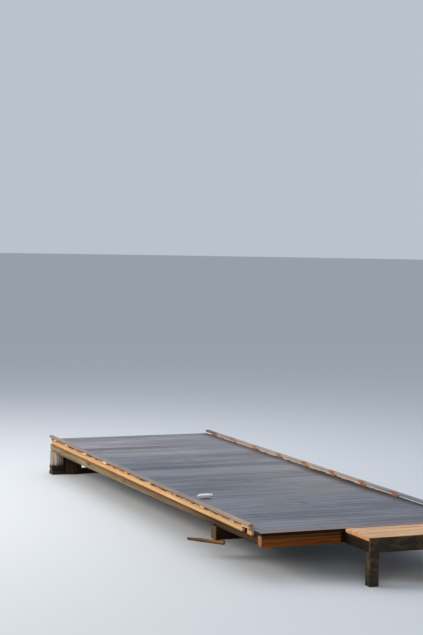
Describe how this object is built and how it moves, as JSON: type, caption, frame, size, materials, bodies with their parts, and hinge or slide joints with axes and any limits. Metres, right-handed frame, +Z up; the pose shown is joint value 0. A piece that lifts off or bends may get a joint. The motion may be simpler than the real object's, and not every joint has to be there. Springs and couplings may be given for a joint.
{
  "type": "wooden jetty",
  "caption": "Low wooden jetty: a grey board deck on tapered log stringers with raised edge rails, posts on a sill log at the lake end and a pine step at the shore.",
  "frame": {"origin": "centre of the bounding box at the lowest level, which is the water line", "axes": "+X to the right as seen from the shore, +Y along the jetty out over the lake, +Z up"},
  "size_m": [2.4346, 6.869, 0.4685],
  "materials": {
    "grey_board": "weathered",
    "old_log": "weathered",
    "fresh_pine": "sawn",
    "brown_beam": "stained",
    "dark_timber": "weathered",
    "cleat_metal": "satin"
  },
  "bodies": {
    "root": {"deck_bay_1": "grey_board", "deck_bay_2": "grey_board", "deck_bay_3": "grey_board", "deck_bay_4": "grey_board", "deck_bay_5": "grey_board", "deck_bay_6": "grey_board", "stringer_left": "old_log", "stringer_middle": "old_log", "stringer_right": "old_log", "sill_log_left": "old_log", "sill_log_right": "old_log", "lake_sill_log": "old_log", "lake_post_left": "old_log", "lake_post_middle": "old_log", "lake_post_right": "old_log", "lake_stub_left": "old_log", "lake_stub_right": "old_log", "edge_strip_left": "fresh_pine", "edge_strip_right": "fresh_pine", "rail_blocks_left": "fresh_pine", "rail_blocks_right": "fresh_pine", "rail_left": "fresh_pine", "rail_right": "fresh_pine", "step_boards": "fresh_pine", "shore_beam": "brown_beam", "bearer_beam": "brown_beam", "lake_packing": "dark_timber", "step_front_beam": "dark_timber", "step_joist_left": "dark_timber", "step_joist_middle": "dark_timber", "step_joist_right": "dark_timber", "step_post_left": "dark_timber", "step_post_middle": "dark_timber", "step_post_right": "dark_timber", "mooring_cleat": "cleat_metal"}
  },
  "joints": []
}
